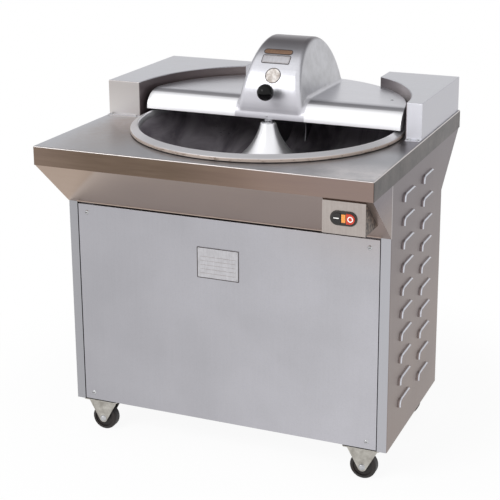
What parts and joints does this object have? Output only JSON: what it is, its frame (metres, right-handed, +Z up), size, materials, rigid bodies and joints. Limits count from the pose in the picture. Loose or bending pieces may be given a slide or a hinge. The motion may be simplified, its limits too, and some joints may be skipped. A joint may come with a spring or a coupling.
{
  "type": "meat bowl cutter",
  "caption": "Floor-standing bowl cutter for chopping meat: turning bowl in a stainless worktop, hinged lid with hood over sickle knives, switch box, louvred cabinet on casters.",
  "frame": {"origin": "on the floor, under the middle of the worktop and of the whole machine's plan", "axes": "+Z up, +X to the operator's right, +Y to the rear; the operator stands on the -Y side"},
  "size_m": [0.808, 0.713, 0.9519],
  "materials": {
    "knob_plastic": "polished black phenolic",
    "panel_steel": "brushed stainless sheet",
    "bowl_steel": "spun and polished stainless steel",
    "belt_rubber": "ribbed rubber",
    "fastener_steel": "plated steel",
    "shaft_steel": "turned steel",
    "bezel_plastic": "black moulded bezel",
    "gland_plastic": "moulded nylon",
    "contactor_plastic": "moulded enclosure",
    "caster_zinc": "zinc plated pressed steel",
    "wheel_rubber": "moulded black rubber",
    "skirt_steel": "brushed stainless sheet",
    "gearbox_paint": "grey paint on cast iron",
    "rail_steel": "dark paint on steel plate",
    "hinge_steel": "machined stainless steel",
    "knife_steel": "ground knife steel",
    "cast_housing": "machined casting",
    "pulley_iron": "machined cast iron",
    "lamp_lens": "amber lens",
    "housing_steel": "brushed stainless sheet",
    "side_steel": "brushed stainless sheet with pressed louvres",
    "lid_steel": "fine brushed stainless sheet",
    "motor_paint": "blue paint on cast iron",
    "fan_plastic": "moulded plastic",
    "start_plastic": "black cap with a white bar",
    "stop_plastic": "red cap with a white ring",
    "switch_box_steel": "brushed stainless sheet",
    "worktop_steel": "brushed stainless sheet"
  },
  "bodies": {
    "cabinet": {"base_pan": "panel_steel", "bowl_belt": "belt_rubber", "button_bezel": "bezel_plastic", "cable_gland": "gland_plastic", "caster_bolts": "fastener_steel", "contactor_box": "contactor_plastic", "front_axle_bolts": "fastener_steel", "front_left_caster_fork": "caster_zinc", "front_panel": "panel_steel", "front_right_caster_fork": "caster_zinc", "front_skirt": "skirt_steel", "gearbox": "gearbox_paint", "gearbox_stand": "rail_steel", "hinge_lugs": "hinge_steel", "hinge_pin": "shaft_steel", "housing_screws": "fastener_steel", "knife_bearing_housing": "cast_housing", "knife_belt": "belt_rubber", "lamp_lens": "lamp_lens", "left_housing": "housing_steel", "left_side_panel": "side_steel", "motor_body": "motor_paint", "motor_fan_cover": "motor_paint", "motor_rails": "rail_steel", "panel_screws": "fastener_steel", "rear_caster_plates": "caster_zinc", "rear_panel": "panel_steel", "rear_skirt": "skirt_steel", "right_housing": "housing_steel", "right_side_panel": "side_steel", "switch_box": "switch_box_steel", "worktop": "worktop_steel"},
    "lid_assembly": {"lid": "lid_steel", "lid_hinge_leaves": "hinge_steel", "ball_knob": "knob_plastic", "knob_stud": "fastener_steel"},
    "bowl_assembly": {"bowl": "bowl_steel", "bowl_bolt": "fastener_steel", "bowl_spindle": "shaft_steel"},
    "knife_assembly": {"knife_shaft": "shaft_steel", "knife_1": "knife_steel", "knife_2": "knife_steel", "knife_3": "knife_steel", "knife_clamp": "shaft_steel", "knife_pulley": "pulley_iron"},
    "motor_rotor": {"motor_shaft": "shaft_steel", "motor_fan": "fan_plastic", "motor_pulley": "pulley_iron"},
    "worm_drive": {"worm_shaft": "shaft_steel", "worm_pulley": "pulley_iron"},
    "start_cap": {"start_button": "start_plastic"},
    "stop_cap": {"stop_button": "stop_plastic"},
    "front_left_roller": {"front_left_wheel": "wheel_rubber"},
    "front_right_roller": {"front_right_wheel": "wheel_rubber"},
    "rear_left_swivel": {"rear_left_caster_fork": "caster_zinc", "rear_left_axle_bolt": "fastener_steel"},
    "rear_left_roller": {"rear_left_wheel": "wheel_rubber"},
    "rear_right_swivel": {"rear_right_caster_fork": "caster_zinc", "rear_right_axle_bolt": "fastener_steel"},
    "rear_right_roller": {"rear_right_wheel": "wheel_rubber"}
  },
  "joints": [
    {"name": "lid_hinge", "type": "hinge", "parent": "cabinet", "child": "lid_assembly", "pos_m": [0.024, 0.335, 0.802], "axis": [-1, 0, 0], "range_deg": [0, 95]},
    {"name": "motor_spin", "type": "hinge", "parent": "cabinet", "child": "motor_rotor", "pos_m": [-0.2, 0.08, 0.196], "axis": [1, 0, 0], "continuous": true},
    {"name": "knife_spin", "type": "hinge", "parent": "cabinet", "child": "knife_assembly", "pos_m": [-0.2, 0.162, 0.802], "axis": [1, 0, 0], "continuous": true},
    {"name": "worm_spin", "type": "hinge", "parent": "cabinet", "child": "worm_drive", "pos_m": [-0.2, 0.063, 0.53], "axis": [1, 0, 0], "continuous": true},
    {"name": "bowl_spin", "type": "hinge", "parent": "cabinet", "child": "bowl_assembly", "pos_m": [0.024, 0, 0.7], "axis": [0, 0, 1], "continuous": true},
    {"name": "start_press", "type": "slide", "parent": "cabinet", "child": "start_cap", "axis": [0, 1, 0], "range_m": [0, 0.003], "stiffness_N_per_m": 400},
    {"name": "stop_press", "type": "slide", "parent": "cabinet", "child": "stop_cap", "axis": [0, 1, 0], "range_m": [0, 0.003], "stiffness_N_per_m": 400},
    {"name": "front_left_roll", "type": "hinge", "parent": "cabinet", "child": "front_left_roller", "pos_m": [-0.336, -0.186, 0.0315], "axis": [0, 1, 0], "continuous": true},
    {"name": "front_right_roll", "type": "hinge", "parent": "cabinet", "child": "front_right_roller", "pos_m": [0.336, -0.186, 0.0315], "axis": [0, 1, 0], "continuous": true},
    {"name": "rear_left_swivel_turn", "type": "hinge", "parent": "cabinet", "child": "rear_left_swivel", "pos_m": [-0.314, 0.17, 0.06], "axis": [0, 0, 1], "continuous": true},
    {"name": "rear_right_swivel_turn", "type": "hinge", "parent": "cabinet", "child": "rear_right_swivel", "pos_m": [0.314, 0.17, 0.06], "axis": [0, 0, 1], "continuous": true},
    {"name": "rear_left_roll", "type": "hinge", "parent": "rear_left_swivel", "child": "rear_left_roller", "pos_m": [-0.336, 0.17, 0.0315], "axis": [0, 1, 0], "continuous": true},
    {"name": "rear_right_roll", "type": "hinge", "parent": "rear_right_swivel", "child": "rear_right_roller", "pos_m": [0.336, 0.17, 0.0315], "axis": [0, 1, 0], "continuous": true}
  ],
  "couplings": [
    {"joint": "knife_spin", "follows": "motor_spin", "ratio": 1.2903},
    {"joint": "worm_spin", "follows": "motor_spin", "ratio": 0.5},
    {"joint": "bowl_spin", "follows": "motor_spin", "ratio": 0.016667}
  ]
}
